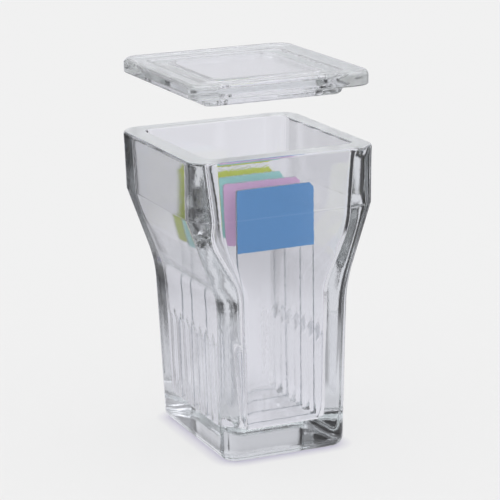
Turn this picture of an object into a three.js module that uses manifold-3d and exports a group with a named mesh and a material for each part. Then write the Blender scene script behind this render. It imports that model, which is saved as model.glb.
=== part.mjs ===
// A pressed-glass slide staining jar: a narrow grooved foot, a mouth widened to both sides, a lift-off
// lid, and four glass slides with coloured ends standing in every second groove.
// Millimetres, +Z up. The origin is the middle of the jar's foot, X runs across the widened mouth and
// -Y is the front.
import * as THREE from "three";
import { mergeVertices } from "three/addons/utils/BufferGeometryUtils.js";
import Module from "manifold-3d";

const wasm = await Module();
wasm.setup();

// Slides: standard 76 x 26 glass with two clipped corners at the coated end.
const slideLength = 76;
const slideWidth = 26;
const slideThickness = 1;
const slideClip = 1.4;
const coatLength = 20;
const coatThickness = 0.1;

// Grooves: ribs on both side walls part the slots that the slides stand in. A slide has play across
// its slot and play towards each side wall, and the ribs lap its edges.
const slotCount = 8;
const slotPlay = 2;
const sidePlay = 0.8;
const ribLap = 1;
const ribWidth = 2.4;
const ribCrestWidth = 1.2;
const ribHeight = 29.2;
const ribRunOut = 4.5;
const endMargin = 0.9;

// Jar walls, foot and rim. The drafts are what a half width gains on its way up.
const floorThickness = 9.3;
const headroom = 11.7;
const mouthHeight = 18.5;
const flareHeight = 25;
const flareReach = 8.85;
const sideWall = 7;
const sideDraft = 1.1;
const mouthDraft = 0.65;
const endWall = 6.1;
const endDraft = 5;
const cavityEndDraft = 3.9;
const bendReach = 6.2;
const footCorner = 5.4;
const rimCorner = 8;
const cavityCorner = 4;
const cavityFloorRound = 0.8;
const footRound = 2.4;
const rimRound = 1.8;
const mouthRound = 0.6;
const beadHeight = 3.3;
const beadProud = 0.3;

// Lid: a plate that overlaps the mouth all round, with a ridge below that drops inside it.
const lidOverlapX = 5.2;
const lidOverlapY = 7.2;
const lidThickness = 4.6;
const lidCorner = 6.6;
const lidTopRound = 1.2;
const lidUnderRound = 0.6;
const ridgeClearance = 0.4;
const ridgeHeight = 3.3;
const ridgeWidth = 6;
const ridgeRound = 0.8;
const ridgeInnerCorner = 3;
const lidLift = 18.8;

// Gap between two solids that rest on each other.
const restGap = 0.3;

// Facets.
const cornerSegments = 6;
const edgeSegments = 4;
const bendSegments = 6;
const crestSegments = 4;

// Each slide's slot from the front, and the share of its play that it takes up: moved to the right,
// moved to the back at its foot, tipped to the right, leant to the front and turned.
const slides = [
  { name: "blue", slot: 0, right: 0, back: 0.32, tip: 0, lean: 0.34, turn: 0.18, colour: 0x5a89ba },
  { name: "purple", slot: 2, right: 0, back: 0.25, tip: 0, lean: 0.43, turn: 0.01, colour: 0xa387af },
  { name: "green", slot: 4, right: -0.5, back: 0.15, tip: -0.5, lean: 0.6, turn: -0.09, colour: 0x82a8a8 },
  { name: "yellow", slot: 6, right: 0.3, back: 0.15, tip: 0, lean: 0.45, turn: -0.04, colour: 0xa0aa5f },
];

// Sizes that follow from the ones above.
const slotPitch = slideThickness + slotPlay + ribWidth;
const slotSpan = slotCount * slotPitch;
const cavityFootX = slideWidth / 2 + sidePlay;
const cavityFootY = slotSpan / 2 + endMargin;
const footHalfX = cavityFootX + sideWall;
const footHalfY = cavityFootY + endWall;
const waistHalfX = footHalfX + sideDraft;
const rimHalfX = waistHalfX + flareReach;
const mouthHalfX = rimHalfX - sideWall + mouthDraft;
const mouthHalfY = cavityFootY + cavityEndDraft;
const jarHeight = floorThickness + slideLength + headroom;
const shoulderHeight = jarHeight - mouthHeight;
const waistHeight = shoulderHeight - flareHeight;
const ribCrestX = slideWidth / 2 - ribLap;
const ribTop = floorThickness + ribHeight;
const glass = { color: 0xdfe2e4, roughness: 0.04, metalness: 0, transparent: true, opacity: 0.35 };

// The side wall's outer outline from foot to rim, as half widths in x and heights in y.
function sideOutline() {
  const draftPerHeight = sideDraft / waistHeight;
  const flarePerHeight = flareReach / flareHeight;
  const outline = new THREE.Path();
  outline.moveTo(footHalfX, 0);
  outline.lineTo(waistHalfX - bendReach * draftPerHeight, waistHeight - bendReach);
  outline.quadraticCurveTo(
    waistHalfX,
    waistHeight,
    waistHalfX + bendReach * flarePerHeight,
    waistHeight + bendReach,
  );
  outline.lineTo(rimHalfX, shoulderHeight);
  outline.lineTo(rimHalfX, jarHeight);
  return outline.getPoints(bendSegments);
}
const outlinePoints = sideOutline();

// The half width of the side outline at a height.
function halfXAt(z) {
  const above = outlinePoints.findIndex((point) => point.y >= z);
  const next = outlinePoints[above < 1 ? 1 : above];
  const last = outlinePoints[above < 1 ? 0 : above - 1];
  return THREE.MathUtils.mapLinear(z, last.y, next.y, last.x, next.x);
}

// The jar's plain outer section at a height, before its edges are rounded.
function sectionAt(z) {
  const halfX = halfXAt(z);
  const widened = (halfX - footHalfX) / (rimHalfX - footHalfX);
  return {
    z,
    halfX,
    halfY: footHalfY + (endDraft * z) / jarHeight,
    corner: THREE.MathUtils.lerp(footCorner, rimCorner, widened),
  };
}

// A section with every side moved in by an amount, or out by a negative one.
function inset(section, amount) {
  return {
    z: section.z,
    halfX: section.halfX - amount,
    halfY: section.halfY - amount,
    corner: section.corner - amount,
  };
}

// Steps round a quarter circle: how far up from the edge each is, and how far in from the side.
function roundSteps(radius) {
  return Array.from({ length: edgeSegments + 1 }, (_, i) => {
    const angle = ((i / edgeSegments) * Math.PI) / 2;
    return { rise: radius * (1 - Math.cos(angle)), reach: radius * (1 - Math.sin(angle)) };
  });
}

// A solid that runs through rounded-rectangle sections from the lowest to the highest. One extrusion
// of a unit section, with a step for each level, is drawn out to the sections' sizes.
function lofted(sections) {
  const unit = new THREE.Shape();
  unit.absarc(1, 1, 1, 0, Math.PI / 2);
  unit.absarc(-1, 1, 1, Math.PI / 2, Math.PI);
  unit.absarc(-1, -1, 1, Math.PI, Math.PI * 1.5);
  unit.absarc(1, -1, 1, Math.PI * 1.5, Math.PI * 2);
  const steps = sections.length - 1;
  const geometry = new THREE.ExtrudeGeometry(unit, {
    depth: steps,
    steps,
    curveSegments: cornerSegments,
    bevelEnabled: false,
  });
  const position = geometry.getAttribute("position");
  for (let i = 0; i < position.count; i += 1) {
    const { z, halfX, halfY, corner } = sections[Math.round(position.getZ(i))];
    const sideX = Math.sign(position.getX(i));
    const sideY = Math.sign(position.getY(i));
    const x = sideX * (halfX - corner) + (position.getX(i) - sideX) * corner;
    const y = sideY * (halfY - corner) + (position.getY(i) - sideY) * corner;
    position.setXYZ(i, x, y, z);
  }
  return geometry;
}

// A closed geometry as a solid that can be joined and cut.
function solidOf(geometry) {
  const bare = geometry.clone();
  bare.deleteAttribute("normal");
  bare.deleteAttribute("uv");
  const merged = mergeVertices(bare, 1e-4);
  return new wasm.Manifold(
    new wasm.Mesh({
      numProp: 3,
      vertProperties: merged.getAttribute("position").array,
      triVerts: new Uint32Array(merged.index.array),
    }),
  );
}

// A joined or cut solid as a geometry again.
function geometryOf(solid) {
  const { vertProperties, triVerts } = solid.getMesh();
  const geometry = new THREE.BufferGeometry();
  geometry.setAttribute("position", new THREE.BufferAttribute(vertProperties, 3));
  geometry.setIndex(new THREE.BufferAttribute(triVerts, 1));
  geometry.computeVertexNormals();
  return geometry;
}

// The jar's outer form: rounded foot, straight foot block, flare, straight mouth and beaded rim.
function jarBlock() {
  const beadFoot = jarHeight - beadHeight;
  const foot = roundSteps(footRound).map(({ rise, reach }) => inset(sectionAt(rise), reach));
  const wall = outlinePoints
    .filter((point) => point.y > footRound && point.y < beadFoot - beadProud)
    .map((point) => sectionAt(point.y));
  const bead = [sectionAt(beadFoot - beadProud), inset(sectionAt(beadFoot), -beadProud)];
  const rim = roundSteps(rimRound)
    .reverse()
    .map(({ rise, reach }) => inset(sectionAt(jarHeight - rise), reach - beadProud));
  return lofted([...foot, ...wall, ...bead, ...rim]);
}

// The space inside the jar, open past the rim.
function jarCavity() {
  const within = (z) => {
    const aboveShoulder = Math.max(z - shoulderHeight, 0) / mouthHeight;
    return {
      z,
      halfX: halfXAt(z) - sideWall + mouthDraft * aboveShoulder,
      halfY: cavityFootY + (cavityEndDraft * z) / jarHeight,
      corner: cavityCorner,
    };
  };
  const floor = roundSteps(cavityFloorRound).map(({ rise, reach }) =>
    inset(within(floorThickness + rise), reach),
  );
  const wall = outlinePoints
    .filter((point) => point.y > floorThickness + cavityFloorRound)
    .filter((point) => point.y < jarHeight - mouthRound)
    .map((point) => within(point.y));
  const mouth = roundSteps(mouthRound)
    .reverse()
    .map(({ rise, reach }) => inset(within(jarHeight - rise), -reach));
  const above = { ...mouth[mouth.length - 1], z: jarHeight + mouthRound };
  return lofted([...floor, ...wall, ...mouth, above]);
}

// One upright rib: a rounded crest on a root sunk in the side wall, with its top sloped back to it.
function rib(side, y) {
  const proud = ribLap + sidePlay;
  const crestRound = ribCrestWidth / 2;
  const section = new THREE.Shape();
  section.moveTo(ribCrestX + proud + sideWall / 2, -ribWidth / 2);
  section.lineTo(ribCrestX + proud + sideWall / 2, ribWidth / 2);
  section.lineTo(ribCrestX + proud, ribWidth / 2);
  section.absarc(ribCrestX + crestRound, 0, crestRound, Math.PI / 2, Math.PI * 1.5);
  section.lineTo(ribCrestX + proud, -ribWidth / 2);
  section.closePath();
  const foot = floorThickness - cavityFloorRound;
  const geometry = new THREE.ExtrudeGeometry(section, {
    depth: ribTop - foot,
    curveSegments: crestSegments,
    bevelEnabled: false,
  });
  geometry.translate(0, y, foot);
  const position = geometry.getAttribute("position");
  for (let i = 0; i < position.count; i += 1) {
    const fromWall = Math.max(1 - (position.getX(i) - ribCrestX) / proud, 0);
    if (position.getZ(i) > ribTop - ribRunOut) position.setZ(i, ribTop - ribRunOut * fromWall);
  }
  if (side < 0) geometry.rotateZ(Math.PI).translate(0, 2 * y, 0);
  return geometry;
}

// The jar: the block less its cavity, with a rib each side of every slot.
function jar() {
  let solid = solidOf(jarBlock()).subtract(solidOf(jarCavity()));
  for (let i = 0; i <= slotCount; i += 1) {
    const y = i * slotPitch - slotSpan / 2;
    solid = solid.add(solidOf(rib(1, y))).add(solidOf(rib(-1, y)));
  }
  const mesh = new THREE.Mesh(geometryOf(solid), new THREE.MeshStandardMaterial(glass));
  mesh.name = "jar";
  return mesh;
}

// The lid, with z = 0 at the underside of its plate.
function lid() {
  const plateAt = (z) => ({
    z,
    halfX: mouthHalfX + lidOverlapX,
    halfY: mouthHalfY + lidOverlapY,
    corner: lidCorner,
  });
  const ridgeAt = (z) => ({
    z,
    halfX: mouthHalfX - ridgeClearance,
    halfY: mouthHalfY - ridgeClearance,
    corner: cavityCorner - ridgeClearance,
  });
  const recessAt = (z) => ({ ...inset(ridgeAt(z), ridgeWidth), corner: ridgeInnerCorner });
  const under = roundSteps(lidUnderRound).map(({ rise, reach }) => inset(plateAt(rise), reach));
  const top = roundSteps(lidTopRound)
    .reverse()
    .map(({ rise, reach }) => inset(plateAt(lidThickness - rise), reach));
  const tip = roundSteps(ridgeRound).map(({ rise, reach }) =>
    inset(ridgeAt(rise - ridgeHeight), reach),
  );
  const ridge = lofted([...tip, ridgeAt(lidThickness / 2)]);
  const recess = lofted([recessAt(-2 * ridgeHeight), recessAt(0)]);
  const solid = solidOf(lofted([...under, ...top]))
    .add(solidOf(ridge))
    .subtract(solidOf(recess));
  const mesh = new THREE.Mesh(geometryOf(solid), new THREE.MeshStandardMaterial(glass));
  mesh.name = "lid";
  mesh.position.z = jarHeight + lidLift;
  return mesh;
}

// A flat sheet with two clipped top corners, upright between two heights. Its back face is y = 0.
function clippedSheet(low, high, thickness) {
  const half = slideWidth / 2;
  const outline = new THREE.Shape();
  outline.moveTo(-half, low);
  outline.lineTo(half, low);
  outline.lineTo(half, high - slideClip);
  outline.lineTo(half - slideClip, high);
  outline.lineTo(slideClip - half, high);
  outline.lineTo(-half, high - slideClip);
  outline.closePath();
  const sheet = new THREE.ExtrudeGeometry(outline, { depth: thickness, bevelEnabled: false });
  return sheet.rotateX(Math.PI / 2);
}

// A slide with its coloured end, standing in its slot as far askew as its shares of the play say.
function coatedSlide({ name, slot, right, back, tip, lean, turn, colour }) {
  const plate = new THREE.Mesh(
    clippedSheet(0, slideLength, slideThickness),
    new THREE.MeshStandardMaterial(glass),
  );
  plate.name = `slide_${name}`;
  plate.position.y = slideThickness / 2;
  const coat = new THREE.Mesh(
    clippedSheet(slideLength - coatLength, slideLength, coatThickness),
    new THREE.MeshStandardMaterial({ color: colour, roughness: 0.55, metalness: 0 }),
  );
  coat.name = `coat_${name}`;
  coat.position.y = -slideThickness / 2;
  const leanAngle = Math.atan((lean * slotPlay) / ribHeight);
  const tipAngle = Math.atan((tip * sidePlay) / ribHeight);
  const turnAngle = Math.atan((turn * slotPlay) / (slideWidth / 2));
  const footDrop =
    (slideThickness / 2) * Math.abs(Math.sin(leanAngle)) +
    (slideWidth / 2) * Math.abs(Math.sin(tipAngle));
  const overRound = Math.max(cavityFloorRound - sidePlay * (1 - Math.abs(right)), 0);
  const roundLift = cavityFloorRound - Math.sqrt(cavityFloorRound ** 2 - overRound ** 2);
  const stand = new THREE.Group();
  stand.add(plate, coat);
  stand.rotation.set(leanAngle, tipAngle, turnAngle, "ZXY");
  const slotY = (slot + 0.5) * slotPitch - slotSpan / 2;
  stand.position.set(
    right * sidePlay,
    slotY + back * slotPlay,
    floorThickness + restGap + footDrop + roundLift,
  );
  return stand;
}

const stainingJar = new THREE.Group();
stainingJar.add(jar(), lid(), ...slides.map(coatedSlide));

export default stainingJar;
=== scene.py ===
import math
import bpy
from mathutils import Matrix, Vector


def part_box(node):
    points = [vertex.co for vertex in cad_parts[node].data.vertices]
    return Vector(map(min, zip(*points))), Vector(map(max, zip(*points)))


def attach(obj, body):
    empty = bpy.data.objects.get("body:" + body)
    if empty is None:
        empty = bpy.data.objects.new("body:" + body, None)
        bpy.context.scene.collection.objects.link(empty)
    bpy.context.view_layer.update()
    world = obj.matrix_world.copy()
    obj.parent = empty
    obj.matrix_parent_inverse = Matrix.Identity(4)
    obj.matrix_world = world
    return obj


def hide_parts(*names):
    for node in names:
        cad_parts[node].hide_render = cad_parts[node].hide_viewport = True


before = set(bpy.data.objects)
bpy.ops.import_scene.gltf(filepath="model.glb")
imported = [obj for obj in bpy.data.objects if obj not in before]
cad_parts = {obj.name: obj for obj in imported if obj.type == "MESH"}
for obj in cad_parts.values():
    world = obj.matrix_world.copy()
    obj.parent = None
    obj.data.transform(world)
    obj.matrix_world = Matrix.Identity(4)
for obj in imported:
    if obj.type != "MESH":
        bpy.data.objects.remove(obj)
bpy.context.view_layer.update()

from types import SimpleNamespace

import bmesh
import bpy
from bpy.props import FloatProperty, FloatVectorProperty, PointerProperty
from mathutils import Matrix, Vector

bl_info = {
    "name": "Slide Staining Jar",
    "version": (1, 0, 0),
    "blender": (4, 5, 0),
    "location": "View3D > Sidebar > Staining Jar",
    "description": "Pressed glass staining jar with a lift-off lid and coated microscope slides",
    "category": "Object",
}

MM = 0.001
MATH = "ShaderNodeMath"
COATS = ("blue", "purple", "green", "yellow")
# Steps round a corner and along the front and back of a section.
CORNER_STEPS = 20
JAR_END_STEPS = 30
LID_END_STEPS = 50
# Points up each half of a side, from its middle. The jar's are a share of a rib's pitch apart.
ROWS_PER_RIB = 14
JAR_ROWS = 57
LID_ROWS = 40
LID_ROW_REACH = 0.8
# Heights of the rings close to a mould seam, from the seam, in millimetres.
SEAM_STEPS = (-1.2, -0.8, -0.5, -0.35, -0.18, 0, 0.18, 0.35, 0.5, 0.8, 1.2)
SEAM_REACH = SEAM_STEPS[-1]
# Strips that keep a flat face flat beside its rounded edge, in millimetres.
FOOT_STRIP = 0.08
RIM_STRIP = 0.1
# How far past a bend and past a rib's top the fine rings go, in millimetres.
PAST_BEND = 0.01
PAST_RIB = 0.3
# Radii where the lid's ridge meets its plate outside and inside, in millimetres.
RIDGE_ROOT = 0.4
RECESS_ROOT = 0.5
# The power that a rib's crown falls with. A higher one makes it squarer.
CROWN_POWER = 2.4
# Fixed places in the noise that the waves, the chips and the knocked spot come from.
SEEDS = {"Wave": 0.0, "Chip": 7.7, "Nick": 3.1}
# A face is cut glass where its mark is above this.
CUT_ABOVE = 0.9
GLASS_IOR = 1.517
# A slide's broad faces are larger than this, and its edges smaller, in square millimetres.
BROAD_FACE = 1000
# Corners within this of a flat face belong to it, in millimetres.
SAME_FACE = 0.02
# Bearings of the tent's white panels in degrees, from +X towards +Y. They stand opposite the camera and
# opposite cameras at azimuths of about 45, 90 and 225 degrees. The glass looks darker from between them.
PANEL_TURNS = (66, 139, 174, 311)


# ---------------------------------------------------------------- properties

def length(name, millimetres, description):
    """A size, given in millimetres and kept in metres."""
    return FloatProperty(
        name=name, description=description, default=millimetres * MM,
        min=0.0, unit="LENGTH", subtype="DISTANCE", precision=5,
    )


def angle(name, degrees, description):
    """An angle, given in degrees and kept in radians."""
    return FloatProperty(
        name=name, description=description, default=math.radians(degrees), subtype="ANGLE", unit="ROTATION",
    )


def linear(hex_colour):
    """An sRGB hex colour as linear red, green and blue."""
    channels = [int(hex_colour[i:i + 2], 16) / 255 for i in (1, 3, 5)]
    return tuple(c / 12.92 if c <= 0.04045 else ((c + 0.055) / 1.055) ** 2.4 for c in channels)


def colour(name, hex_colour, description):
    """A colour that a user can pick, given as sRGB hex."""
    return FloatVectorProperty(
        name=name, description=description, default=linear(hex_colour),
        subtype="COLOR", size=3, min=0.0, max=1.0,
    )


class JarSizes(bpy.types.PropertyGroup):
    foot_half_x: length("Foot half width", 20.8, "Half the jar's width at its foot")
    foot_half_y: length("Foot half depth", 28.6, "Half the jar's depth at its foot")
    side_draft: length("Side draft", 1.1, "How far each side leans out between foot and waist")
    end_draft: length("End draft", 5.0, "How far the front and back lean out between foot and rim")
    waist: length("Waist height", 53.5, "Height at which the sides start to widen")
    flare_height: length("Flare height", 25.0, "Height of the widening part")
    flare_reach: length("Flare reach", 8.85, "How far each side widens")
    height: length("Height", 97.0, "Height of the jar to its rim")
    bend: length("Bend reach", 6.2, "Half the height over which the waist bends")
    foot_corner: length("Foot corner", 5.4, "Radius of the upright corners at the foot")
    rim_corner: length("Rim corner", 7.5, "Radius of the upright corners at the rim")
    foot_round: length("Foot round", 2.6, "Radius of the foot's lower edge")
    rim_round: length("Rim round", 1.0, "Radius of the rim's outer edge")
    mouth_round: length("Mouth round", 0.6, "Radius of the rim's inner edge")
    bead_height: length("Bead height", 3.3, "Height of the beaded rim")
    bead_proud: length("Bead reach", 0.06, "How far the beaded rim stands out")
    bead_blend: length("Bead blend", 1.6, "Half the height over which the bead runs out into the wall")
    seam_proud: length("Seam reach", 0.09, "How far the mould seams stand out")
    seam_width: length("Seam half width", 0.35, "Half the width of a mould seam")
    foot_seam: length("Foot seam height", 2.9, "Height of the seam round the foot")
    shoulder_bend: length("Shoulder bend", 0.9, "Half the height over which the shoulder bends outside")
    inner_waist_bend: length("Inner waist bend", 3.1, "Half the height over which the cavity starts to widen")
    inner_shoulder: length("Inner shoulder", 71.5, "Height at which the cavity stops widening")
    inner_bend: length("Inner shoulder bend", 4.0, "Half the height over which the cavity stops widening")
    side_wall: length("Side wall", 6.75, "Thickness of the side walls")
    mouth_half_x: length("Mouth half width", 24.4, "Half the mouth's width at the rim")
    mouth_draft: length("Mouth draft", 1.7, "How far the mouth's sides lean out above the inner shoulder")
    cavity_foot_y: length("Cavity half depth", 22.8, "Half the cavity's depth at its foot")
    cavity_draft: length("Cavity draft", 3.9, "How far the cavity's front and back lean out")
    cavity_corner: length("Cavity corner", 3.0, "Radius of the cavity's upright corners")
    cavity_shift: length("Cavity shift", 0.45, "How far the cavity is off the jar's middle")
    cavity_turn: angle("Cavity turn", 0.9, "How far the cavity is turned in the jar")
    floor: length("Floor thickness", 9.3, "Thickness of the solid foot")
    floor_round: length("Floor round", 0.8, "Radius where the cavity's floor meets its walls")


class RibSizes(bpy.types.PropertyGroup):
    pitch: length("Rib pitch", 5.4, "Distance between neighbouring ribs")
    width: length("Rib width", 2.4, "Width of a rib at its root")
    crest: length("Crest distance", 12.0, "Distance from the jar's middle to a rib's crest")
    top: length("Rib top", 38.5, "Height at which a rib has run out into the wall")
    run_out: length("Run-out", 4.5, "Height of the sloped top of a rib")
    foot_reach: length("Foot reach", 3.0, "Height over which a rib widens towards the floor")
    foot_spread: FloatProperty(
        name="Foot spread", description="Half a rib's width at the floor, as a share of its width",
        default=0.85, min=0.5, max=1.0,
    )


class LidSizes(bpy.types.PropertyGroup):
    half_x: length("Plate half width", 29.6, "Half the lid's width")
    half_y: length("Plate half depth", 33.6, "Half the lid's depth")
    thickness: length("Plate thickness", 4.6, "Thickness of the lid's plate")
    corner: length("Plate corner", 6.6, "Radius of the plate's corners")
    top_round: length("Top round", 1.5, "Radius of the plate's upper edge")
    under_round: length("Under round", 0.6, "Radius of the plate's lower edge")
    ridge_x: length("Ridge half width", 23.4, "Half the ridge's outer width")
    ridge_y: length("Ridge half depth", 25.8, "Half the ridge's outer depth")
    ridge_height: length("Ridge height", 3.3, "How far the ridge stands below the plate")
    ridge_width: length("Ridge width", 5.7, "Width of the ridge")
    ridge_corner: length("Ridge corner", 3.6, "Radius of the ridge's outer corners")
    ridge_inner_corner: length("Ridge inner corner", 3.0, "Radius of the ridge's inner corners")
    ridge_round: length("Ridge round", 1.0, "Radius of the ridge's lower edges")


def share(name, default, description):
    """A plain number from nothing up."""
    return FloatProperty(name=name, description=description, default=default, min=0.0, precision=3)


class SlideSizes(bpy.types.PropertyGroup):
    clip_fill: length("Clip fill", 0.9, "How much smaller the left corner's clip is than the right one's")
    edge_bevel: length("Edge bevel", 0.12, "Width of the bevel ground along a slide's edges")
    coat_gap: length("Coat gap", 0.02, "Gap between a slide and its printed end")
    edge_tint: colour("Edge tint", "#8E969F", "Colour of a slide's ground edges")


class GlassLook(bpy.types.PropertyGroup):
    body: colour("Glass colour", "#FCFCFE", "Colour that a wall gives the light it passes")
    depth: colour("Deep colour", "#DCE1E1", "Colour that deep glass gives the light it passes")
    jar_density: share("Jar density", 9.0, "How fast the jar's deep glass takes on its colour, per metre")
    lid_density: share("Lid density", 8.0, "How fast the lid's deep glass takes on its colour, per metre")
    peel: share("Peel", 0.015, "Strength of the mould's orange peel")
    jar_wave: length("Jar wave depth", 0.02, "Depth of the slow waves in the jar's surface")
    lid_wave: length("Lid wave depth", 0.01, "Depth of the slow waves in the lid's surface")
    wave_size: length("Wave size", 20.0, "Width of the pressed surface's slow waves")
    chip: length("Chip depth", 0.5, "Depth of the chips along the lid's ridge")
    chip_size: length("Chip size", 1.2, "Width of the chips along the lid's ridge")
    nick_turn: angle("Nick turn", -75, "Turn of the knocked spot round the rim's corner, from the right side")
    nick_drop: length("Nick drop", 0.8, "How far the middle of the knocked spot is below the rim")
    nick_reach: length("Nick reach", 2.8, "How far the knocked spot reaches to each side")
    nick: length("Nick depth", 1.8, "Depth of the knocked spot on the rim")
    nick_size: length("Nick size", 1.1, "Width of the splinters in the knocked spot")
    jar_polish: share("Jar polish", 0.05, "Roughness of the jar's fire-polished skin")
    lid_polish: share("Lid polish", 0.08, "Roughness of the lid's skin")
    rim_polish: share("Rim polish", 0.3, "Roughness of the ground rim")
    rim_tint: colour("Rim tint", "#E3E7E5", "Colour of the ground rim")


class CoatLook(bpy.types.PropertyGroup):
    blue: colour("Blue coat", "#618FC0", "Printed coat of the front slide")
    purple: colour("Purple coat", "#D2B0D0", "Printed coat of the second slide")
    green: colour("Green coat", "#9CCBC8", "Printed coat of the third slide")
    yellow: colour("Yellow coat", "#BCC566", "Printed coat of the back slide")


def glow(name, strength, what):
    """A brightness that only the glass shows."""
    return share(name, strength, "Brightness of " + what + " in the glass")


class StudioLook(bpy.types.PropertyGroup):
    backdrop: colour("Backdrop", "#EFEFEF", "Colour of the backdrop")
    floor: colour("Floor", "#F0F0F0", "Colour of the table top")
    # Painted contact shadow: ambient occlusion mixes this lavender into the table's glow close under the
    # glass's edge.
    painted_contact_shadow: colour("Contact", "#B9B4CB", "Colour of the table top close under the glass")
    crevice: length("Contact reach", 4.0, "How far the dark line under the glass's edge reaches")
    floor_paint: colour("Floor paint", "#B3B3B3", "Colour of the table top's matt paint")
    floor_glow: share("Floor glow", 0.78, "Share of the table top's own white, which thins the shadow")
    level: share("Level", 2.0, "Brightness of the even light on matt surfaces")
    drawn: colour("Tent in the glass", "#FAFAFF", "Colour of the tent and the table in the glass")
    roof: glow("Roof", 1.8, "the tent's roof")
    slope_behind: glow("Slope behind", 0.15, "the sloping side behind the jar")
    slope_before: glow("Slope in front", 0.51, "the sloping side before the jar")
    behind: glow("Band behind", 0.0, "the band above the walls behind the jar")
    before: glow("Band in front", 0.36, "the band above the walls in front of the jar")
    panel: glow("Panels", 0.83, "the tent's low panels")
    panel_top: share("Panel tops", 0.63, "What the panels add to the band above the walls")
    gap: glow("Gaps", 0.05, "the gaps between the panels")
    table_near: glow("Table near", 0.85, "the table close in front of the jar")
    table_under: glow("Table near, behind", 0.7, "the table close behind the jar")
    table_behind: glow("Table behind", 0.84, "the table behind the jar")
    table_gap: glow("Table gap", 0.46, "the table behind the jar between the panels")
    table_before: glow("Table in front", 0.78, "the table in front of the jar")
    panel_reach: angle("Panel reach", 27, "How far the panel behind the jar reaches to each side")
    side_reach: angle("Side panel reach", 12, "How far each of the other panels reaches to each side")
    panel_edge: angle("Panel edge", 4, "Width of a panel's soft edge")
    dark_turn: angle("Dark side", 123, "Bearing of the tent's dark side")


# ---------------------------------------------------------------- node helper

def node(tree, kind, inputs=None, **settings):
    """Adds one node, sets its properties and values, and links the sockets that it is given."""
    made = tree.nodes.new(kind)
    for name, value in settings.items():
        setattr(made, name, value)
    for key, value in (inputs or {}).items():
        socket = made.inputs[key]
        if isinstance(value, bpy.types.NodeSocket):
            tree.links.new(value, socket)
        else:
            socket.default_value = value
    return made


def staged(tree, value, level, stages):
    """Goes from level to level while a value rises. Each stage has its start, its end and the level there."""
    for start, end, reached in stages:
        level = node(tree, "ShaderNodeMapRange", {
            "Value": value, "From Min": start, "From Max": end, "To Min": level, "To Max": reached},
            interpolation_type="SMOOTHSTEP").outputs[0]
    return level


def new_material(name):
    """A material with an empty tree."""
    material = bpy.data.materials.new(name)
    material.use_nodes = True
    material.node_tree.nodes.clear()
    return material, material.node_tree


# ---------------------------------------------------------------- mesh helpers

def in_millimetres(group):
    """The lengths of a property group, by name, in millimetres."""
    names = [key for key in type(group).__annotations__ if key != "cavity_turn"]
    return SimpleNamespace(**{key: getattr(group, key) / MM for key in names})


def section(half_x, half_y, corner, rows, end_steps):
    """Points round a rounded rectangle, from its right side anticlockwise. The right and left sides
    have a point at each of the given y values, so that they line up from one height to the next."""
    straight = half_y - corner
    centre = half_x - corner

    def side_x(y):
        past = max(abs(y) - straight, 0.0)
        return centre + math.sqrt(max(corner * corner - past * past, 0.0))

    last = rows[-1]
    first_angle = math.asin(min(max(last - straight, 0.0) / corner, 1.0))
    run = max(straight - last, 0.0)
    arc = corner * (math.pi / 2 - first_angle)
    quarter = []
    for i in range(1, CORNER_STEPS + 1):
        along = (run + arc) * i / CORNER_STEPS
        if along < run:
            quarter.append((half_x, last + along))
        else:
            around = first_angle + (along - run) / corner
            quarter.append((centre + corner * math.cos(around), straight + corner * math.sin(around)))
    end = [(centre * (1 - 2 * i / end_steps), half_y) for i in range(1, end_steps)]
    right = [(side_x(y), y) for y in rows]
    half = right + quarter + end + [(-x, y) for x, y in reversed(quarter)]
    return half + [(-x, -y) for x, y in half]


def close_end(solid, ring, end_steps):
    """Closes a section with a grid of small faces, so that its skin can wave."""
    half = len(ring) // 2
    side = half - end_steps + 1
    grid = []
    for i in range(side):
        right, left = ring[i - CORNER_STEPS], ring[half + side - CORNER_STEPS - 1 - i]
        if i == 0:
            between = [ring[-CORNER_STEPS - 1 - k] for k in range(end_steps - 1)]
        elif i == side - 1:
            between = [ring[side - CORNER_STEPS + k] for k in range(end_steps - 1)]
        else:
            shares = [k / end_steps for k in range(1, end_steps)]
            between = [solid.verts.new(right.co.lerp(left.co, along)) for along in shares]
        grid.append([right, *between, left])
    for low, high in zip(grid, grid[1:]):
        for k in range(end_steps):
            solid.faces.new((low[k], low[k + 1], high[k + 1], high[k]))


def lofted_mesh(name, rings, end_steps, marks):
    """A closed mesh through rings, each a height and points round it, in millimetres. Each mark is an
    attribute that is 1 on the rings it lists, and on what closes them, and 0 elsewhere."""
    solid = bmesh.new()
    layers = [[solid.verts.new((x * MM, y * MM, z * MM)) for x, y in points] for z, points in rings]
    count = len(layers[0])
    for low, high in zip(layers, layers[1:]):
        for i in range(count):
            j = (i + 1) % count
            solid.faces.new((low[i], low[j], high[j], high[i]))
    close_end(solid, layers[0], end_steps)
    middle = len(solid.verts)
    close_end(solid, layers[-1], end_steps)
    on_ring = [ring for ring in range(len(rings)) for _ in range(count)]
    on_ring += [0] * (middle - len(on_ring)) + [len(rings) - 1] * (len(solid.verts) - middle)
    bmesh.ops.recalc_face_normals(solid, faces=solid.faces)
    mesh = bpy.data.meshes.new(name)
    solid.to_mesh(mesh)
    solid.free()
    mesh.polygons.foreach_set("use_smooth", [True] * len(mesh.polygons))
    for mark, marked in marks.items():
        values = [1.0 if ring in marked else 0.0 for ring in on_ring]
        mesh.attributes.new(mark, "FLOAT", "POINT").data.foreach_set("value", values)
    return mesh


def place(name, mesh, *materials):
    """An object at the origin that shows a mesh."""
    piece = bpy.data.objects.new(name, mesh)
    bpy.context.scene.collection.objects.link(piece)
    for material in materials:
        mesh.materials.append(material)
    return piece


def quarter_steps(radius, steps):
    """Steps round a quarter circle: how far from the edge, and how far in from the side."""
    angles = [math.pi / 2 * i / steps for i in range(steps + 1)]
    return [(radius * (1 - math.cos(a)), radius * (1 - math.sin(a))) for a in angles]


def spread(low, high, step):
    """Heights between two limits, both left out, no further apart than a step."""
    count = max(int(math.ceil((high - low) / step)), 1)
    return [low + (high - low) * i / count for i in range(1, count)]


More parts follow.
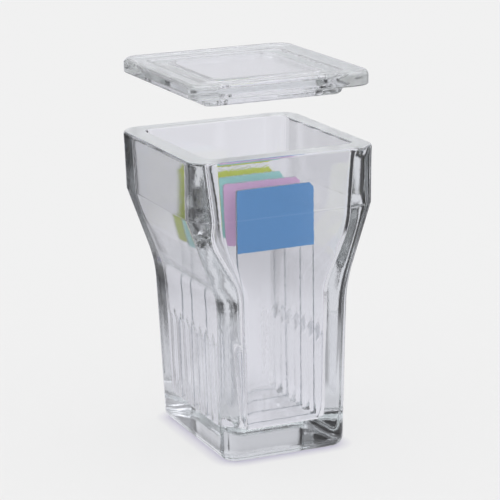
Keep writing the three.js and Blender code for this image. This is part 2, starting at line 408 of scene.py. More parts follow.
def wall_heights(stretches):
    """Heights of a wall's rings, upwards. Each stretch has its two limits and the step between rings."""
    return sorted(z for low, high, step in stretches for z in spread(low, high, step))


def eased(value):
    """From 0 to 1 with a gentle start and end."""
    value = min(max(value, 0.0), 1.0)
    return value * value * (3 - 2 * value)


def shaped(name, mesh, tree, values):
    """A piece from a mesh that a Geometry Nodes tree has shaped, with the tree's named inputs set."""
    piece = place(name, mesh)
    modifier = piece.modifiers.new("shape", "NODES")
    modifier.node_group = tree
    for socket in tree.interface.items_tree:
        if socket.in_out == "INPUT" and socket.name in values:
            modifier[socket.identifier] = values[socket.name]
    bpy.context.view_layer.update()
    evaluated = piece.evaluated_get(bpy.context.evaluated_depsgraph_get())
    result = bpy.data.meshes.new_from_object(evaluated)
    piece.modifiers.remove(modifier)
    piece.data = result
    for attribute in [a.name for a in result.attributes if a.name in ("inside", "ground", "rough")]:
        result.attributes.remove(result.attributes[attribute])
    return piece


# ---------------------------------------------------------------- geometry trees

SKIN_INPUTS = {
    "Material": ("Glass", "Ground glass"),
    "Float": ("Wave depth", "Wave size", "Chip depth", "Chip size"),
}
RIB_INPUTS = {
    "Float": ("Pitch", "Width", "Crest", "Top", "Run-out", "Foot", "Foot reach", "Foot spread",
              "Nick reach", "Nick depth", "Nick size"),
    "Vector": ("Nick place",),
}


def geometry_tree(name, *groups):
    """A Geometry Nodes tree with a mesh in and out and the given named inputs."""
    tree = bpy.data.node_groups.new(name, "GeometryNodeTree")
    tree.interface.new_socket("Geometry", in_out="OUTPUT", socket_type="NodeSocketGeometry")
    tree.interface.new_socket("Geometry", in_out="INPUT", socket_type="NodeSocketGeometry")
    for kind, label in [(kind, label) for group in groups for kind in group for label in group[kind]]:
        tree.interface.new_socket(label, in_out="INPUT", socket_type="NodeSocket" + kind)
    return tree, node(tree, "NodeGroupInput").outputs


def pushed_in(tree, geometry, depth):
    """Moves the surface towards the glass, so that the piece never grows."""
    normal = node(tree, "GeometryNodeInputNormal").outputs[0]
    inward = node(tree, MATH, {0: depth, 1: -1.0}, operation="MULTIPLY").outputs[0]
    offset = node(tree, "ShaderNodeVectorMath", {0: normal, "Scale": inward}, operation="SCALE").outputs[0]
    return node(tree, "GeometryNodeSetPosition", {"Geometry": geometry, "Offset": offset}).outputs[0]


def bumps(tree, given, label):
    """Soft hills, as deep and as wide as the label's two values say."""
    position = node(tree, "GeometryNodeInputPosition").outputs[0]
    scale = node(tree, MATH, {0: 1.0, 1: given[label + " size"]}, operation="DIVIDE").outputs[0]
    noise = node(tree, "ShaderNodeTexNoise", {
        "Vector": position, "W": SEEDS[label], "Scale": scale, "Detail": 0.0},
        noise_dimensions="4D").outputs[0]
    return node(tree, MATH, {0: noise, 1: given[label + " depth"]}, operation="MULTIPLY").outputs[0]


def pressed_surface(tree, given, geometry):
    """Waves the whole surface and chips what is marked as rough, then sets the clear and the cut glass."""
    rough = node(tree, "GeometryNodeInputNamedAttribute", {"Name": "rough"}, data_type="FLOAT").outputs[0]
    chips = node(tree, MATH, {0: bumps(tree, given, "Chip"), 1: rough}, operation="MULTIPLY").outputs[0]
    depth = node(tree, MATH, {0: bumps(tree, given, "Wave"), 1: chips}, operation="ADD").outputs[0]
    waved = pushed_in(tree, geometry, depth)
    real = node(tree, "GeometryNodeRealizeInstances", {"Geometry": waved}).outputs[0]
    clear = node(tree, "GeometryNodeSetMaterial", {"Geometry": real, "Material": given["Glass"]}).outputs[0]
    ground = node(tree, "GeometryNodeInputNamedAttribute", {"Name": "ground"}, data_type="FLOAT").outputs[0]
    cut = node(tree, MATH, {0: ground, 1: CUT_ABOVE}, operation="GREATER_THAN").outputs[0]
    done = node(tree, "GeometryNodeSetMaterial", {
        "Geometry": clear, "Selection": cut, "Material": given["Ground glass"]}).outputs[0]
    node(tree, "NodeGroupOutput", {0: done})
    return tree


def ribbed_tree():
    """Draws the cavity's side walls in to a row of upright ribs and splinters the knocked spot on the rim,
    then finishes the pressed surface."""
    tree, given = geometry_tree("Pressed ribs", RIB_INPUTS, SKIN_INPUTS)
    position = node(tree, "GeometryNodeInputPosition").outputs[0]
    x, y, z = node(tree, "ShaderNodeSeparateXYZ", {0: position}).outputs
    half_pitch = node(tree, MATH, {0: given["Pitch"], 1: 0.5}, operation="MULTIPLY").outputs[0]
    above = node(tree, MATH, {0: z, 1: given["Foot"]}, operation="SUBTRACT").outputs[0]
    footed = node(tree, "ShaderNodeMapRange", {
        "Value": above, "From Max": given["Foot reach"], "To Min": given["Foot spread"], "To Max": 0.5},
        interpolation_type="SMOOTHERSTEP").outputs[0]
    half_width = node(tree, MATH, {0: given["Width"], 1: footed}, operation="MULTIPLY").outputs[0]
    from_rib = node(tree, MATH, {0: y, 1: half_pitch}, operation="PINGPONG").outputs[0]
    part = node(tree, MATH, {0: from_rib, 1: half_width}, operation="DIVIDE").outputs[0]
    fall = node(tree, MATH, {0: part, 1: CROWN_POWER}, operation="POWER").outputs[0]
    crown = node(tree, MATH, {0: 1.0, 1: fall}, operation="SUBTRACT", use_clamp=True).outputs[0]
    full = node(tree, MATH, {0: given["Top"], 1: given["Run-out"]}, operation="SUBTRACT").outputs[0]
    standing = node(tree, "ShaderNodeMapRange", {
        "Value": z, "From Min": given["Top"], "From Max": full}).outputs[0]
    away = node(tree, MATH, {0: x}, operation="ABSOLUTE").outputs[0]
    past = node(tree, MATH, {0: away, 1: given["Crest"]}, operation="SUBTRACT").outputs[0]
    reach = node(tree, MATH, {0: past, 1: 0.0}, operation="MAXIMUM").outputs[0]
    inside = node(tree, "GeometryNodeInputNamedAttribute", {"Name": "inside"}, data_type="FLOAT").outputs[0]
    side = node(tree, MATH, {0: x}, operation="SIGN").outputs[0]
    move = node(tree, MATH, {0: side, 1: -1.0}, operation="MULTIPLY").outputs[0]
    for factor in (reach, crown, standing, inside):
        move = node(tree, MATH, {0: move, 1: factor}, operation="MULTIPLY").outputs[0]
    offset = node(tree, "ShaderNodeCombineXYZ", {0: move}).outputs[0]
    ribbed = node(tree, "GeometryNodeSetPosition", {
        "Geometry": given["Geometry"], "Offset": offset}).outputs[0]
    from_nick = node(tree, "ShaderNodeVectorMath", {
        0: position, 1: given["Nick place"]}, operation="DISTANCE").outputs["Value"]
    near = staged(tree, from_nick, 1.0, [(0.0, given["Nick reach"], 0.0)])
    nick = node(tree, MATH, {0: bumps(tree, given, "Nick"), 1: near}, operation="MULTIPLY").outputs[0]
    return pressed_surface(tree, given, pushed_in(tree, ribbed, nick))


def plain_tree():
    """Finishes the pressed surface of a piece that has no ribs."""
    tree, given = geometry_tree("Pressed surface", SKIN_INPUTS)
    return pressed_surface(tree, given, given["Geometry"])


# ---------------------------------------------------------------- materials

def glass_output(tree, surface, volume=None):
    """Ends a glass material so that the soft light passes it to what stands behind."""
    clear = node(tree, "ShaderNodeBsdfTransparent", {"Color": (*linear("#FEFEFF"), 1.0)})
    shade = node(tree, "ShaderNodeLightPath").outputs["Is Shadow Ray"]
    passed = node(tree, "ShaderNodeMixShader", {0: shade, 1: surface, 2: clear.outputs[0]}).outputs[0]
    output = node(tree, "ShaderNodeOutputMaterial", {"Surface": passed})
    if volume:
        tree.links.new(volume, output.inputs["Volume"])


def pressed_glass(name, look, roughness, density):
    """Soda-lime glass pressed in an iron mould and fire-polished. Thin walls look clear with a breath of
    lilac, deep edges turn grey-green, and the mould's fine orange peel makes what lies behind waver."""
    material, tree = new_material(name)
    place_on = node(tree, "ShaderNodeTexCoord").outputs["Object"]
    # Peel of about 0.7 mm, the grain that a polished iron mould leaves.
    peel = node(tree, "ShaderNodeTexNoise", {
        "Vector": place_on, "Scale": 1500.0, "Detail": 1.0, "Roughness": 0.5}).outputs["Fac"]
    bump = node(tree, "ShaderNodeBump", {"Strength": look.peel, "Distance": 0.001, "Height": peel})
    glass = node(tree, "ShaderNodeBsdfPrincipled", {
        "Base Color": (*look.body, 1.0), "Roughness": roughness, "IOR": GLASS_IOR,
        "Transmission Weight": 1.0, "Normal": bump.outputs[0]})
    deep = node(tree, "ShaderNodeVolumeAbsorption", {"Color": (*look.depth, 1.0), "Density": density})
    glass_output(tree, glass.outputs[0], deep.outputs[0])
    return material


def ground_glass(name, tint, roughness, clearness):
    """Glass cut on a wheel with fine grit: the same glass under a silky grey skin that blurs what is
    behind it."""
    material, tree = new_material(name)
    place_on = node(tree, "ShaderNodeTexCoord").outputs["Object"]
    # Grit marks of about 0.3 mm, drawn some five times as coarse as the real ones so that they show.
    grit = node(tree, "ShaderNodeTexNoise", {
        "Vector": place_on, "Scale": 3300.0, "Detail": 2.0}).outputs["Fac"]
    bump = node(tree, "ShaderNodeBump", {"Strength": 0.2, "Distance": 0.0001, "Height": grit})
    glass = node(tree, "ShaderNodeBsdfPrincipled", {
        "Base Color": (*tint, 1.0), "Roughness": roughness, "IOR": GLASS_IOR,
        "Transmission Weight": clearness, "Normal": bump.outputs[0]})
    glass_output(tree, glass.outputs[0])
    return material


def drawn_glass(name):
    """Drawn sheet glass of a microscope slide: flat, thin and nearly colourless."""
    material, tree = new_material(name)
    glass = node(tree, "ShaderNodeBsdfPrincipled", {
        "Base Color": (*linear("#FEFEFE"), 1.0), "Roughness": 0.0, "IOR": GLASS_IOR,
        "Transmission Weight": 1.0})
    glass_output(tree, glass.outputs[0])
    return material


def printed_coat(name, tint):
    """Screen-printed enamel ink on a slide's end: matt and even, with the print's faint grain."""
    material, tree = new_material(name)
    place_on = node(tree, "ShaderNodeTexCoord").outputs["Object"]
    # Grain of about 0.5 mm, the mesh of the printing screen, coarse enough to show.
    grain = node(tree, "ShaderNodeTexNoise", {
        "Vector": place_on, "Scale": 2000.0, "Detail": 3.0, "Roughness": 0.6}).outputs["Fac"]
    shade = node(tree, "ShaderNodeMapRange", {
        "Value": grain, "From Min": 0.3, "From Max": 0.7, "To Min": 0.95, "To Max": 1.05}).outputs[0]
    tinted = node(tree, "ShaderNodeVectorMath", {
        0: tuple(tint), "Scale": shade}, operation="SCALE").outputs[0]
    ink = node(tree, "ShaderNodeBsdfPrincipled", {
        "Base Color": tinted, "Roughness": 0.6, "Specular IOR Level": 0.3})
    node(tree, "ShaderNodeOutputMaterial", {"Surface": ink.outputs[0]})
    return material


def seen_in_glass(tree):
    """1 for what the camera sees through glass or mirrored in it, and 0 for what lights a matt surface."""
    path = node(tree, "ShaderNodeLightPath").outputs
    either = node(tree, MATH, {
        0: path["Is Transmission Ray"], 1: path["Is Glossy Ray"]}, operation="MAXIMUM").outputs[0]
    matt = node(tree, MATH, {0: path["Diffuse Depth"], 1: 0.5}, operation="LESS_THAN").outputs[0]
    return node(tree, MATH, {0: either, 1: matt}, operation="MULTIPLY").outputs[0]


def panels(tree, look, bearing):
    """1 in front of one of the tent's white panels and 0 in the gaps between them."""
    shown = 0.0
    for turn, reach in zip(PANEL_TURNS, (look.panel_reach,) + (look.side_reach,) * 3):
        turned = node(tree, MATH, {0: bearing, 1: math.radians(turn)}, operation="SUBTRACT").outputs[0]
        off = node(tree, MATH, {0: turned, 1: math.pi}, operation="PINGPONG").outputs[0]
        here = node(tree, "ShaderNodeMapRange", {
            "Value": off, "From Min": reach + look.panel_edge, "From Max": reach},
            interpolation_type="SMOOTHSTEP").outputs[0]
        shown = node(tree, MATH, {0: here, 1: shown}, operation="MAXIMUM").outputs[0]
    return shown


def round_about(tree, look, vector):
    """Where a direction or a place lies: at a panel or not, and from 0 behind the jar to 1 before it."""
    x, y, z = node(tree, "ShaderNodeSeparateXYZ", {0: vector}).outputs
    bearing = node(tree, MATH, {0: y, 1: x}, operation="ARCTAN2").outputs[0]
    turned = node(tree, MATH, {0: bearing, 1: look.dark_turn}, operation="SUBTRACT").outputs[0]
    back = node(tree, MATH, {0: turned}, operation="COSINE").outputs[0]
    before = node(tree, "ShaderNodeMapRange", {"Value": back, "From Min": 1.0, "From Max": -1.0}).outputs[0]
    return panels(tree, look, bearing), before, z


def table_top(name, look):
    """Matt white laminate that runs up to the backdrop with no edge. Its own white thins the shadow that
    the jar throws, a painted contact shadow darkens it close under the glass's edge, and in the glass it
    glows with painted light that fades to the tent's panels and gaps."""
    material, tree = new_material(name)
    position = node(tree, "ShaderNodeNewGeometry").outputs["Position"]
    reach = node(tree, "ShaderNodeVectorMath", {0: position}, operation="LENGTH").outputs["Value"]
    shown, before, _ = round_about(tree, look, position)
    # What the glass shows of the table glows as painted light: near it, further off, and then as the tent's
    # walls, with painted shade close behind the jar and between the panels. The limits below are shares of
    # the way round from behind the jar, and then metres from the jar.
    far = staged(tree, shown, look.gap, [(0.0, 1.0, look.panel)])
    back = staged(tree, shown, look.table_gap, [(0.0, 1.0, look.table_behind)])
    middle = staged(tree, before, back, [(0.25, 0.6, look.table_before)])
    near = staged(tree, before, look.table_under, [(0.1, 0.35, look.table_near)])
    tone = staged(tree, reach, near, [(0.04, 0.08, middle), (0.16, 0.21, far)])
    camera = node(tree, "ShaderNodeLightPath").outputs["Is Camera Ray"]
    own_white = node(tree, MATH, {0: camera, 1: look.floor_glow}, operation="MULTIPLY").outputs[0]
    matt = node(tree, "ShaderNodeBsdfDiffuse", {"Color": (*look.floor_paint, 1.0)}).outputs[0]
    # Painted contact shadow: within the contact reach, ambient occlusion turns the table's glowing white to
    # the lavender, a dark line under the glass's edge.
    crevice = node(tree, "ShaderNodeAmbientOcclusion", {"Distance": look.crevice}, samples=8).outputs["AO"]
    ground = node(tree, "ShaderNodeMix", {
        "Factor": crevice, "A": (*look.painted_contact_shadow, 1.0), "B": (*look.floor, 1.0)},
        data_type="RGBA").outputs["Result"]
    white = node(tree, "ShaderNodeEmission", {"Color": ground}).outputs[0]
    drawn = node(tree, "ShaderNodeEmission", {"Color": (*look.drawn, 1.0), "Strength": tone}).outputs[0]
    lit = node(tree, "ShaderNodeMixShader", {0: own_white, 1: matt, 2: white}).outputs[0]
    dressed = node(tree, "ShaderNodeMixShader", {0: seen_in_glass(tree), 1: lit, 2: drawn}).outputs[0]
    node(tree, "ShaderNodeOutputMaterial", {"Surface": dressed})
    return material


# ---------------------------------------------------------------- operators

class STAININGJAR_OT_jar(bpy.types.Operator):
    """Make the pressed glass jar with its ribs"""

    bl_idname = "staining_jar.jar"
    bl_label = "Jar"

    def execute(self, context):
        sizes = context.scene.jar_sizes
        ribs = context.scene.rib_sizes
        look = context.scene.glass_look
        s = in_millimetres(sizes)
        top = s.height
        floor = s.floor
        shoulder = s.waist + s.flare_height
        waist_half = s.foot_half_x + s.side_draft
        rim_half = waist_half + s.flare_reach
        draft = s.side_draft / s.waist
        flare = s.flare_reach / s.flare_height
        bead_foot = top - s.bead_height
        row_gap = ribs.pitch / MM / ROWS_PER_RIB
        turn = math.tan(sizes.cavity_turn)
        rows = [row_gap * i for i in range(-JAR_ROWS, JAR_ROWS + 1)]

        def bent(z, at, half, reach, below, above):
            """Half width near a bend between two slopes, rounded over a reach each way."""
            if z <= at - reach:
                return half - below * (at - z)
            if z >= at + reach:
                return half + above * (z - at)
            t = (z - at + reach) / (2 * reach)
            return half - below * reach * (1 - t) ** 2 + above * reach * t * t

        def half_x(z, shoulder_round):
            if z < (s.waist + shoulder) / 2:
                return bent(z, s.waist, waist_half, s.bend, draft, flare)
            return bent(z, shoulder, rim_half, shoulder_round, flare, 0.0)

        def outer(z, inset):
            half = half_x(z, s.shoulder_bend)
            widened = (half - s.foot_half_x) / (rim_half - s.foot_half_x)
            corner = s.foot_corner + (s.rim_corner - s.foot_corner) * widened
            half_y = s.foot_half_y + s.end_draft * z / top
            return z, section(half - inset, half_y - inset, corner - inset, rows, JAR_END_STEPS)

        def cavity_x(z):
            """Half the cavity's width: straight, then widening, then nearly straight up to the mouth."""
            neck = waist_half - s.side_wall
            mouth = s.mouth_half_x - s.mouth_draft
            rise = s.inner_shoulder - s.waist
            lean = s.mouth_draft / (top - s.inner_shoulder)
            slope = (mouth - neck) / rise
            if z < s.waist + rise / 2:
                return bent(z, s.waist, neck, s.inner_waist_bend, draft, slope)
            return bent(z, s.inner_shoulder, mouth, s.inner_bend, slope, lean)

        def inner(z, inset):
            half = cavity_x(z)
            half_y = s.cavity_foot_y + s.cavity_draft * z / top
            points = section(half - inset, half_y - inset, s.cavity_corner - inset, rows, JAR_END_STEPS)
            return z, [(x - turn * y + s.cavity_shift, y + turn * x) for x, y in points]

        def proud(z):
            """How far the mould's seams and the beaded rim stand out at a height."""
            near = min(abs(z - s.foot_seam), abs(z - shoulder))
            seam = s.seam_proud * max(1 - near / s.seam_width, 0.0)
            return seam + s.bead_proud * eased((z - bead_foot) / (2 * s.bead_blend) + 0.5)

        # The foot's seam has the nearest five of the rings that the shoulder's has.
        foot_seams = [s.foot_seam + step for step in SEAM_STEPS[3:8]]
        shoulder_seams = [shoulder + step for step in SEAM_STEPS]
        waist_low, waist_high = (s.waist + way * s.bend for way in (-1, 1))
        bead_low = bead_foot - s.bead_blend
        outside = wall_heights((
            (foot_seams[-1], waist_low, 3.0),
            (waist_low - PAST_BEND, waist_high + PAST_BEND, 0.6),
            (waist_high, shoulder - SEAM_REACH, 2.0),
            (shoulder + SEAM_REACH, bead_low, 2.5),
            (bead_low - PAST_BEND, top - s.rim_round, 0.4),
        ))
        rim_steps = quarter_steps(s.rim_round, 8)
        rings = [(0.0, outer(0.0, s.foot_round + FOOT_STRIP)[1])]
        rings += [outer(rise, reach) for rise, reach in quarter_steps(s.foot_round, 8)]
        rings += [outer(z, -proud(z)) for z in sorted(foot_seams + shoulder_seams + outside)]
        rings += [outer(top - rise, reach - s.bead_proud) for rise, reach in reversed(rim_steps)]
        rim = len(rings)
        rings += [(top, outer(top, s.rim_round - s.bead_proud + RIM_STRIP)[1]),
                  (top, inner(top, -s.mouth_round - RIM_STRIP)[1])]
        rings += [inner(top - rise, -reach) for rise, reach in quarter_steps(s.mouth_round, 5)]
        rib_top = ribs.top / MM
        rib_low = rib_top - ribs.run_out / MM
        neck_low, neck_high = (s.waist + way * (s.inner_waist_bend + PAST_BEND) for way in (-1, 1))
        mouth_low, mouth_high = (s.inner_shoulder + way * (s.inner_bend + PAST_BEND) for way in (-1, 1))
        inside = wall_heights((
            (floor + s.floor_round, rib_low - PAST_RIB, 2.5),
            (rib_low - PAST_RIB, rib_top + PAST_RIB + PAST_BEND, 0.3),
            (rib_top + PAST_RIB, neck_low, 2.0),
            (neck_low, neck_high, 0.4),
            (neck_high, mouth_low, 1.5),
            (mouth_low, mouth_high, 0.7),
            (mouth_high, top - s.mouth_round, 2.0),
        ))
        cavity = len(rings)
        rings += [inner(z, 0.0) for z in reversed(inside)]
        rings += [inner(floor + rise, reach) for rise, reach in reversed(quarter_steps(s.floor_round, 5))]
        rings.append((floor, inner(floor, s.floor_round + FOOT_STRIP)[1]))
        # The wheel that ground the rim also took the edges of the rounds on both sides of it.
        marks = {"inside": range(cavity, len(rings)), "ground": range(rim - 3, rim + 4), "rough": ()}
        corner = s.rim_corner
        end = s.foot_half_y + s.end_draft
        nick_place = (
            (rim_half - corner * (1 - math.cos(look.nick_turn))) * MM,
            (corner * (1 + math.sin(look.nick_turn)) - end) * MM,
            top * MM - look.nick_drop,
        )
        piece = shaped("jar_glass", lofted_mesh("jar_glass", rings, JAR_END_STEPS, marks), ribbed_tree(), {
            "Pitch": ribs.pitch, "Width": ribs.width, "Crest": ribs.crest, "Top": ribs.top,
            "Run-out": ribs.run_out, "Foot": sizes.floor, "Foot reach": ribs.foot_reach,
            "Foot spread": ribs.foot_spread, "Nick place": nick_place, "Nick reach": look.nick_reach,
            "Nick depth": look.nick, "Nick size": look.nick_size,
            **surface_values(look, look.jar_polish, look.jar_density, look.jar_wave)})
        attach(piece, "jar")
        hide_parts("jar")
        return {"FINISHED"}


class STAININGJAR_OT_lid(bpy.types.Operator):
    """Make the pressed glass lid with its ridge"""

    bl_idname = "staining_jar.lid"
    bl_label = "Lid"

    def execute(self, context):
        look = context.scene.glass_look
        s = in_millimetres(context.scene.lid_sizes)
        depth = s.ridge_height
        fine = s.ridge_round
        width = s.ridge_width
        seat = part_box("lid")[0][2] / MM + depth
        rows = [s.ridge_y * LID_ROW_REACH * i / LID_ROWS for i in range(-LID_ROWS, LID_ROWS + 1)]

        def outline(half_x, half_y, corner):
            """Gives rings of one outline, each at a height over the plate's underside and drawn in."""
            def ring(z, inset):
                return seat + z, section(half_x - inset, half_y - inset, corner - inset, rows, LID_END_STEPS)
            return ring

        plate = outline(s.half_x, s.half_y, s.corner)
        ridge = outline(s.ridge_x, s.ridge_y, s.ridge_corner)
        recess = outline(s.ridge_x - width, s.ridge_y - width, s.ridge_inner_corner)
        sides = spread(s.under_round, s.thickness - s.top_round, 0.6)
        rings = [plate(s.thickness, s.top_round + RIM_STRIP)]
        rings += [plate(s.thickness - rise, reach) for rise, reach in quarter_steps(s.top_round, 7)]
        rings += [plate(z, 0.0) for z in reversed(sides)]
        rings += [plate(rise, reach) for rise, reach in reversed(quarter_steps(s.under_round, 5))]
        under = len(rings)
        rings += [plate(0.0, s.under_round + RIM_STRIP), ridge(0.0, -RIDGE_ROOT - RIM_STRIP)]
        rings += [ridge(-rise, -reach) for rise, reach in quarter_steps(RIDGE_ROOT, 4)]
        rings += [ridge(-z, 0.0) for z in spread(RIDGE_ROOT, depth - fine, 0.5)]
        chips = len(rings)
        rings += [ridge(rise - depth, reach) for rise, reach in reversed(quarter_steps(fine, 6))]
        edge = len(rings)
        rings += [ridge(-depth, fine + RIM_STRIP), recess(-depth, -fine - RIM_STRIP)]
        rings += [recess(rise - depth, -reach) for rise, reach in quarter_steps(fine, 6)]
        rings += [recess(-z, 0.0) for z in reversed(spread(RECESS_ROOT, depth - fine, 0.5))]
        rings += [recess(-rise, reach) for rise, reach in reversed(quarter_steps(RECESS_ROOT, 5))]
        rings.append(recess(0.0, RECESS_ROOT + RIM_STRIP))
        marks = {"inside": (), "ground": (under, under + 1, edge, edge + 1), "rough": range(chips, edge)}
        piece = shaped("lid_glass", lofted_mesh("lid_glass", rings, LID_END_STEPS, marks), plain_tree(),
                       surface_values(look, look.lid_polish, look.lid_density, look.lid_wave))
        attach(piece, "lid")
        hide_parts("lid")
        return {"FINISHED"}


def surface_values(look, roughness, density, wave):
    """A pressed piece's two materials, and the depth and width of its waves and chips."""
    return {
        "Glass": pressed_glass("pressed soda-lime glass", look, roughness, density),
        "Ground glass": ground_glass(
            "wheel-ground soda-lime glass", look.rim_tint, look.rim_polish, clearness=0.9),
        "Wave depth": wave, "Wave size": look.wave_size,
        "Chip depth": look.chip, "Chip size": look.chip_size,
    }


def merged_copy(node_name):
    """A clean copy of a CAD node's mesh: its loose triangles joined and its flat faces made whole."""
    solid = bmesh.new()
    solid.from_mesh(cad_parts[node_name].data)
    bmesh.ops.remove_doubles(solid, verts=solid.verts, dist=1e-6)
    bmesh.ops.dissolve_limit(solid, angle_limit=math.radians(1), verts=solid.verts, edges=solid.edges)
    return solid


def fill_clip(solid, fill):
    """Makes the clip at a sheet's left top corner smaller."""
    corner = sorted(solid.verts, key=lambda v: v.co.z - v.co.x)[-4:]
    corner.sort(key=lambda v: v.co.x)
    for v in corner[:2]:
        v.co.z += fill
    for v in corner[2:]:
        v.co.x -= fill


def as_mesh(solid, name):
    """A mesh from a bmesh, with its faces turned out."""
    bmesh.ops.recalc_face_normals(solid, faces=solid.faces)
    mesh = bpy.data.meshes.new(name)
    solid.to_mesh(mesh)
    solid.free()
    return mesh


def middle_of(solid):
    """The mean of a solid's corners."""
    return sum((v.co for v in solid.verts), Vector()) / len(solid.verts)


class STAININGJAR_OT_slides(bpy.types.Operator):
    """Make the microscope slides with their ground edges and printed ends"""

    bl_idname = "staining_jar.slides"
    bl_label = "Slides"

    def execute(self, context):
        sizes = context.scene.slide_sizes
        coats = context.scene.coat_look
        clear = drawn_glass("drawn slide glass")
        ground = ground_glass("ground slide edge", sizes.edge_tint, roughness=0.4, clearness=0.5)
        for name in COATS:
            plate = merged_copy("slide_" + name)
            fill_clip(plate, sizes.clip_fill)
            middle = middle_of(plate)
            for face in plate.faces:
                face.material_index = 0 if face.calc_area() > BROAD_FACE * MM * MM else 1
            bmesh.ops.bevel(plate, geom=list(plate.edges), offset=sizes.edge_bevel, segments=1,
                            affect="EDGES", material=1)
            slide_name = "slide_" + name + "_glass"
            slide = place(slide_name, as_mesh(plate, slide_name), clear, ground)
            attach(slide, "jar")
            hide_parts("slide_" + name)
            coat = merged_copy("coat_" + name)
            fill_clip(coat, sizes.clip_fill)
            normal = max(coat.faces, key=lambda f: f.calc_area()).normal.copy()
            off = (middle_of(coat) - middle).dot(normal)
            out = normal if off > 0 else -normal
            # The corners on the slide's face move off it by the gap, and the coat's outer face stays.
            near = min(v.co.dot(out) for v in coat.verts) + SAME_FACE * MM
            for v in coat.verts:
                if v.co.dot(out) < near:
                    v.co += out * sizes.coat_gap
            coat_name = "printed_end_" + name
            ink = printed_coat("printed enamel " + name, getattr(coats, name))
            printed = place(coat_name, as_mesh(coat, coat_name), ink)
            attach(printed, "jar")
            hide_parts("coat_" + name)
        return {"FINISHED"}


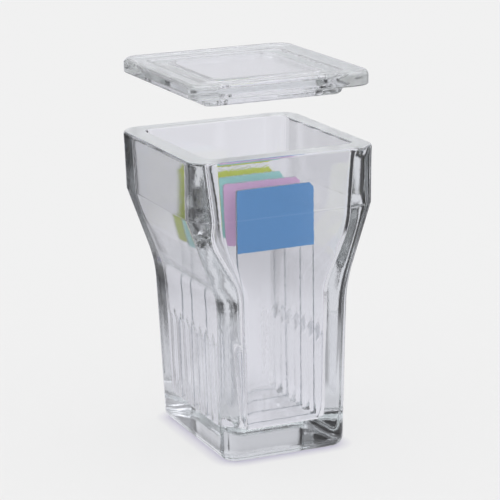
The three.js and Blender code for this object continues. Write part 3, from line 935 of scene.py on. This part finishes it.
class STAININGJAR_OT_studio(bpy.types.Operator):
    """Make the table top, the light tent and the camera"""

    bl_idname = "staining_jar.studio"
    bl_label = "Studio"

    def execute(self, context):
        scene = context.scene
        look = scene.studio_look
        reach = 12.0
        drop = -0.05 * MM
        signs = ((-1, -1), (1, -1), (1, 1), (-1, 1))
        corners = [(x * reach, y * reach, drop) for x, y in signs]
        mesh = bpy.data.meshes.new("table_top")
        mesh.from_pydata(corners, [], [(0, 1, 2, 3)])
        place("table_top", mesh, table_top("white laminate", look))
        self.light_tent(scene, look)
        self.camera(scene)
        scene.view_settings.view_transform = "Standard"
        scene.cycles.max_bounces = 32
        scene.cycles.transmission_bounces = 32
        scene.cycles.glossy_bounces = 16
        scene.cycles.transparent_max_bounces = 32
        return {"FINISHED"}

    def light_tent(self, scene, look):
        """Even white light on matt surfaces, and a plain backdrop for the camera. The glass shows another
        studio: a bright roof, four bright low panels with dark gaps between them, which draw the glass's
        edges, and a band above that is dark behind the jar."""
        scene.world = bpy.data.worlds.new("light tent")
        scene.world.use_nodes = True
        tree = scene.world.node_tree
        tree.nodes.clear()
        direction = node(tree, "ShaderNodeTexCoord").outputs["Generated"]
        shown, before, z = round_about(tree, look, direction)
        low = staged(tree, shown, look.gap, [(0.0, 1.0, look.panel)])
        band = staged(tree, before, look.behind, [(0.0, 1.0, look.before)])
        high = staged(tree, before, 0.0, [(0.05, 0.11, shown)])
        tops = node(tree, MATH, {0: high, 1: look.panel_top, 2: band}, operation="MULTIPLY_ADD").outputs[0]
        slope = staged(tree, before, look.slope_behind, [(0.5, 0.9, look.slope_before)])
        # The limits here are heights of a direction: 0 is level and 1 is straight up.
        plan = staged(tree, z, low, [(0.13, 0.21, tops), (0.36, 0.48, slope), (0.62, 0.78, look.roof)])
        even, drawn, plain = (
            node(tree, "ShaderNodeBackground", {"Color": (*tint, 1.0), "Strength": strength}).outputs[0]
            for tint, strength in (((1.0, 1.0, 1.0), look.level), (look.drawn, plan), (look.backdrop, 1.0)))
        lit = node(tree, "ShaderNodeMixShader", {0: seen_in_glass(tree), 1: even, 2: drawn}).outputs[0]
        camera = node(tree, "ShaderNodeLightPath").outputs["Is Camera Ray"]
        seen = node(tree, "ShaderNodeMixShader", {0: camera, 1: lit, 2: plain}).outputs[0]
        node(tree, "ShaderNodeOutputWorld", {"Surface": seen})

    def camera(self, scene):
        """A long lens, a little above the jar and to its left."""
        data = bpy.data.cameras.new("camera")
        data.lens = 163.26
        data.clip_start = 0.05
        data.clip_end = 60.0
        camera = bpy.data.objects.new("camera", data)
        scene.collection.objects.link(camera)
        azimuth, elevation, roll = (math.radians(a) for a in (-22.72, 14.157, -1.417))
        # In millimetres: what the camera turns round, how far off it is, and where it aims from there.
        middle = Vector((1.62, 0.0, 59.87)) * MM
        distance = 723.1
        aim_left = 0.83
        aim_up = 0.06
        level = math.cos(elevation)
        back = Vector((math.sin(azimuth) * level, -math.cos(azimuth) * level, math.sin(elevation)))
        right = Vector((math.cos(azimuth), math.sin(azimuth), 0.0))
        up = back.cross(right)
        eye = middle + back * distance * MM
        turned_right = right * math.cos(roll) + up * math.sin(roll)
        turned_up = back.cross(turned_right)
        aim = middle - turned_right * aim_left * MM + turned_up * aim_up * MM
        away = (eye - aim).normalized()
        across = turned_up.cross(away).normalized()
        axes = Matrix((across, away.cross(across), away)).transposed()
        camera.matrix_world = Matrix.Translation(eye) @ axes.to_4x4()
        scene.camera = camera


class STAININGJAR_PT_panel(bpy.types.Panel):
    """Lists the jar's pieces"""

    bl_idname = "STAININGJAR_PT_panel"
    bl_label = "Staining Jar"
    bl_space_type = "VIEW_3D"
    bl_region_type = "UI"
    bl_category = "Staining Jar"

    def draw(self, context):
        for operator, _ in STEPS:
            self.layout.operator(operator.bl_idname)
        for group in GROUPS:
            box = self.layout.box()
            box.label(text=GROUPS[group].__name__)
            for key in GROUPS[group].__annotations__:
                box.prop(getattr(context.scene, group), key)


GROUPS = {
    "jar_sizes": JarSizes, "rib_sizes": RibSizes, "lid_sizes": LidSizes, "slide_sizes": SlideSizes,
    "glass_look": GlassLook, "coat_look": CoatLook, "studio_look": StudioLook,
}
STEPS = (
    (STAININGJAR_OT_jar, "jar"),
    (STAININGJAR_OT_lid, "lid"),
    (STAININGJAR_OT_slides, "slides"),
    (STAININGJAR_OT_studio, "studio"),
)


def register():
    for group in GROUPS.values():
        bpy.utils.register_class(group)
    for operator, _ in STEPS:
        bpy.utils.register_class(operator)
    bpy.utils.register_class(STAININGJAR_PT_panel)
    for name, group in GROUPS.items():
        setattr(bpy.types.Scene, name, PointerProperty(type=group))


def unregister():
    for name in GROUPS:
        delattr(bpy.types.Scene, name)
    bpy.utils.unregister_class(STAININGJAR_PT_panel)
    for operator, _ in reversed(STEPS):
        bpy.utils.unregister_class(operator)
    for group in reversed(GROUPS.values()):
        bpy.utils.unregister_class(group)


def main():
    register()
    for _, name in STEPS:
        getattr(bpy.ops.staining_jar, name)()


if __name__ == "__main__":
    main()
